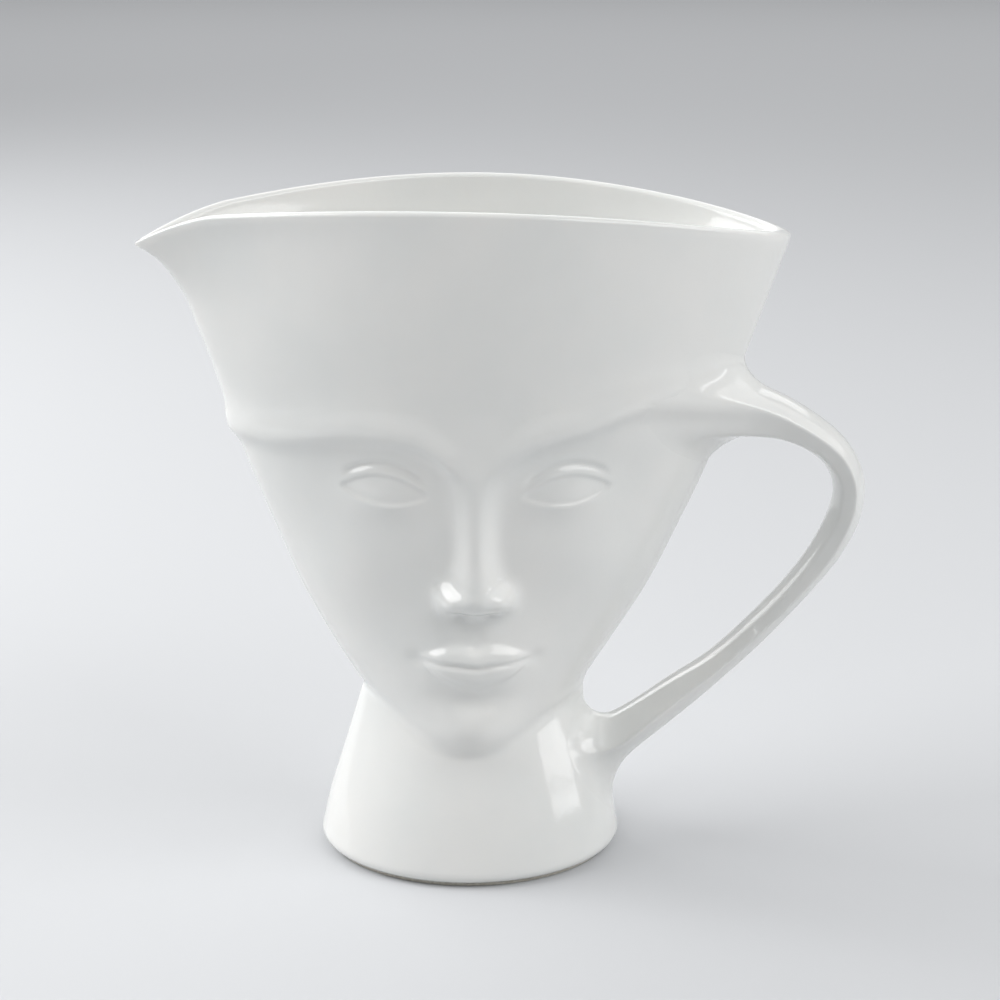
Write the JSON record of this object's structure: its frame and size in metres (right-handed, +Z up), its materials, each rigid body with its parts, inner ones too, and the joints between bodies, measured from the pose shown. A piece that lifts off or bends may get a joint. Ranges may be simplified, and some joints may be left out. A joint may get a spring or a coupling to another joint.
{
  "type": "pitcher",
  "caption": "White porcelain pitcher shaped as a head with a calm face, a leaf-shaped mouth drawn out to a beak, a flared foot and a strap handle.",
  "frame": {"origin": "on the table under the middle of the whole box, midway between the tip of the beak and the outside of the handle", "axes": "+Z up out of the mouth, -Y the way the face looks, -X the way the beak points, +X the handle side"},
  "size_m": [0.2164, 0.0904, 0.1997],
  "materials": {
    "glaze": "glossy white porcelain glaze, opaque",
    "slip": "white porcelain slip under the same glaze, opaque",
    "bare_clay": "unglazed fired porcelain, matte, opaque"
  },
  "bodies": {
    "root": {"body": "glaze", "handle": "glaze", "upper_joint_slip": "slip", "lower_joint_slip": "slip", "foot_ring": "bare_clay"}
  },
  "joints": []
}
